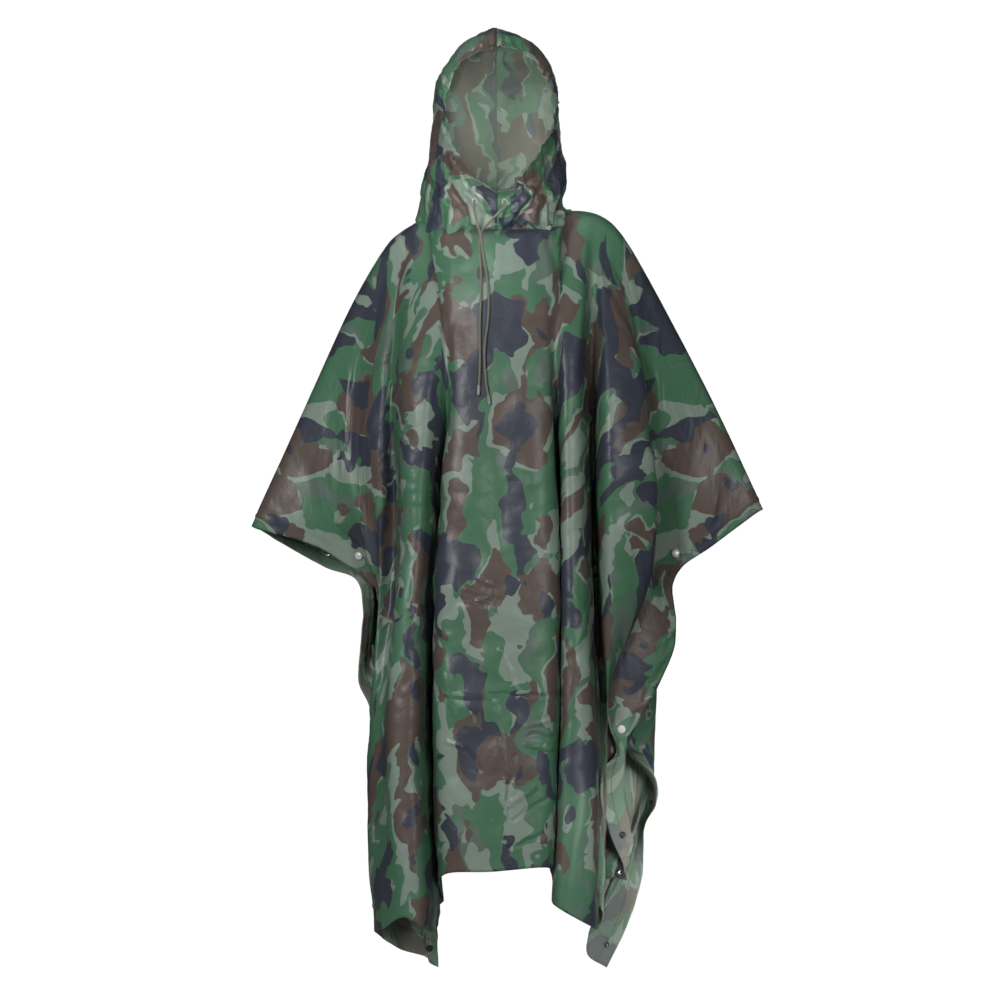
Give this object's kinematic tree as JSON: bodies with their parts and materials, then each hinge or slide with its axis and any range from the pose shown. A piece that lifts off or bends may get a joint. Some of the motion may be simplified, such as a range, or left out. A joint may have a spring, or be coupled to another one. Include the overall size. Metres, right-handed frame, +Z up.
{
  "type": "hooded rain poncho",
  "caption": "Hooded rain poncho: a coated sheet over the shoulders with a two-piece hood, drawcord and side snaps, hanging as worn.",
  "frame": {"origin": "middle of the neck hole, level with the shoulder line at the neck, where the wearer's shoulders carry the sheet", "axes": "+X to the wearer's left, -Y to the front, +Z up"},
  "size_m": [0.8514, 0.3791, 1.5531],
  "materials": {
    "cloth": "coated nylon, woodland camouflage, soft sheen",
    "braid": "braided olive cord",
    "tip": "clear plastic",
    "dark_metal": "dark nickel",
    "bright_metal": "bright nickel"
  },
  "bodies": {
    "root": {"back": "cloth", "cord_tip_left": "tip", "cord_tip_right": "tip", "drawcord_left": "braid", "drawcord_right": "braid", "eyelet_left": "dark_metal", "eyelet_right": "dark_metal", "front": "cloth", "hood_left": "cloth", "hood_right": "cloth", "snap_left_corner_cap": "bright_metal", "snap_left_corner_post": "dark_metal", "snap_left_corner_socket": "dark_metal", "snap_left_corner_stud": "dark_metal", "snap_left_side_cap": "bright_metal", "snap_left_side_post": "dark_metal", "snap_left_side_shut": "dark_metal", "snap_left_sleeve_cap": "bright_metal", "snap_left_sleeve_post": "dark_metal", "snap_left_sleeve_shut": "dark_metal", "snap_left_thigh_cap": "bright_metal", "snap_left_thigh_post": "dark_metal", "snap_left_thigh_socket": "dark_metal", "snap_left_thigh_stud": "dark_metal", "snap_right_corner_cap": "bright_metal", "snap_right_corner_post": "dark_metal", "snap_right_corner_socket": "dark_metal", "snap_right_corner_stud": "dark_metal", "snap_right_side_cap": "bright_metal", "snap_right_side_post": "dark_metal", "snap_right_side_shut": "dark_metal", "snap_right_sleeve_cap": "bright_metal", "snap_right_sleeve_post": "dark_metal", "snap_right_sleeve_socket": "dark_metal", "snap_right_sleeve_stud": "dark_metal", "snap_right_thigh_cap": "bright_metal", "snap_right_thigh_post": "dark_metal", "snap_right_thigh_socket": "dark_metal", "snap_right_thigh_stud": "dark_metal"}
  },
  "joints": []
}
